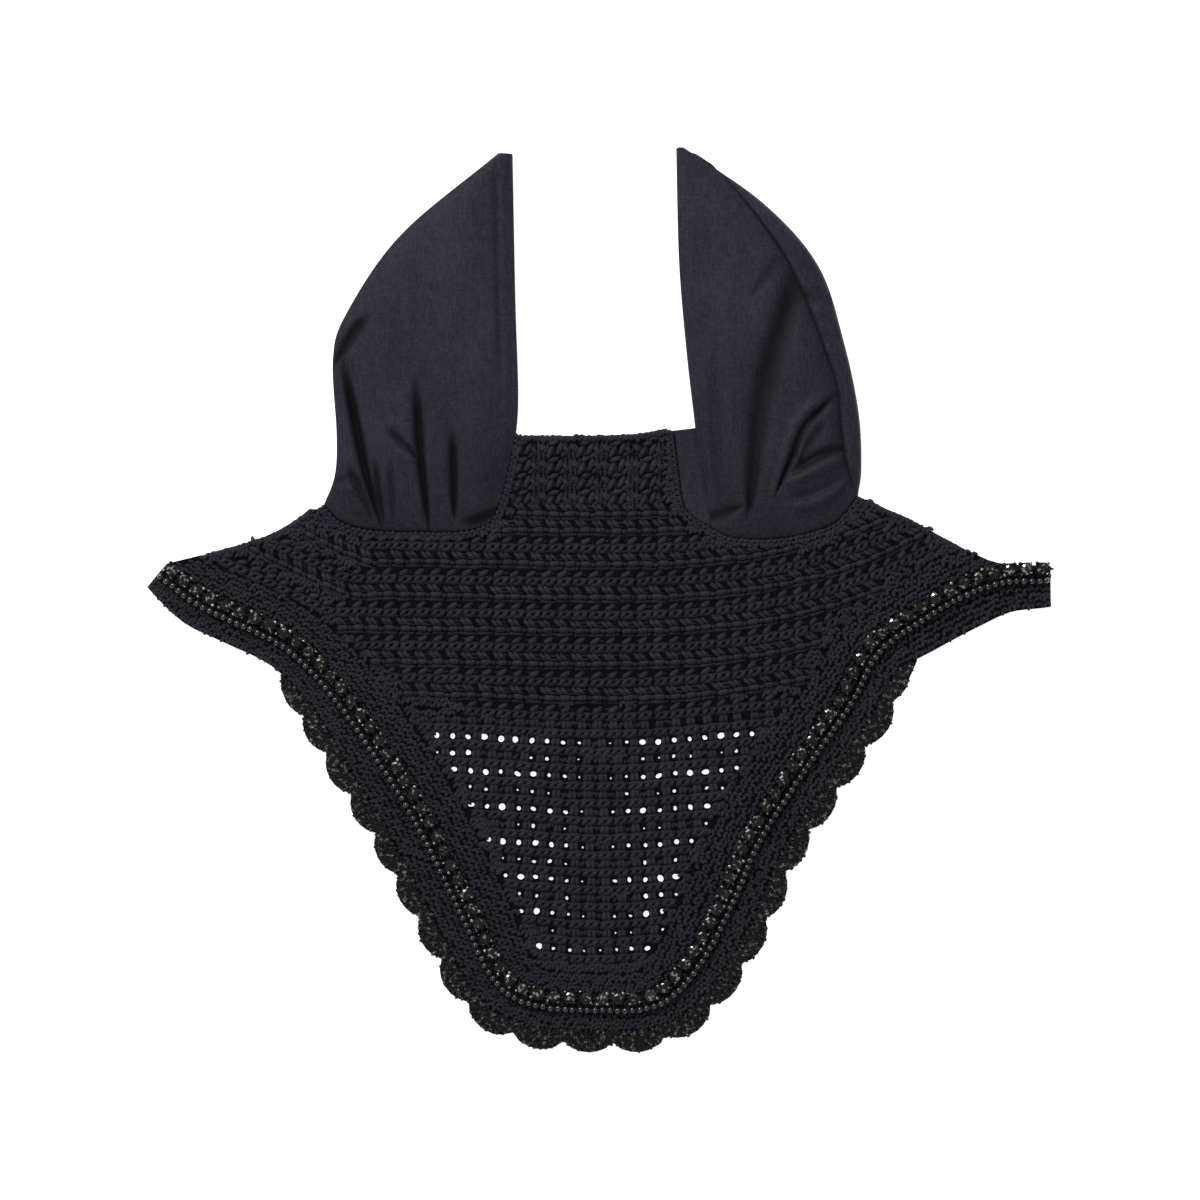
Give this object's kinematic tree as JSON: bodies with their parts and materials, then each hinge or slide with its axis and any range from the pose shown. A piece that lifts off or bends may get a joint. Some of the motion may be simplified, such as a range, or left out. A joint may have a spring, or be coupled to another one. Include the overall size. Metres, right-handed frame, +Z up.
{
  "type": "horse ear bonnet",
  "caption": "Crocheted fly veil for a horse: yoke, open forehead mesh, scalloped border with crystal and bead trim, two cloth ear sleeves that fold up",
  "frame": {"origin": "centre of the bonnet's bounding box, on the surface that it lies on", "axes": "+Z up from the surface, +Y toward the ears and the horse's poll, +X across the forehead to the right in the plan view"},
  "size_m": [0.4796, 0.4808, 0.012],
  "materials": {
    "navy_yarn": "matt twisted cotton yarn, crocheted",
    "lurex_yarn": "black yarn with a fine metallic thread",
    "ear_cloth": "smooth close-woven stretch cloth with a faint sheen",
    "smoky_crystal": "faceted smoky glass in dark metal claw settings",
    "jet_bead": "glossy black glass"
  },
  "bodies": {
    "net": {"poll_bridge": "navy_yarn", "forehead_yoke": "navy_yarn", "forehead_mesh": "navy_yarn", "border_band_inner": "navy_yarn", "border_band_outer": "navy_yarn", "scalloped_edging": "lurex_yarn", "crystal_chain": "smoky_crystal", "bead_string": "jet_bead", "ear_join_left": "navy_yarn", "ear_join_right": "navy_yarn"},
    "left_ear": {"ear_front_left": "ear_cloth", "ear_back_left": "ear_cloth"},
    "right_ear": {"ear_front_right": "ear_cloth", "ear_back_right": "ear_cloth"}
  },
  "joints": [
    {"name": "left_ear_fold", "type": "hinge", "parent": "net", "child": "left_ear", "pos_m": [-0.1025, 0.036, 0.00335], "axis": [1, 0, 0], "range_deg": [0, 90]},
    {"name": "right_ear_fold", "type": "hinge", "parent": "net", "child": "right_ear", "pos_m": [0.098, 0.032, 0.00335], "axis": [1, 0, 0], "range_deg": [0, 90]}
  ]
}
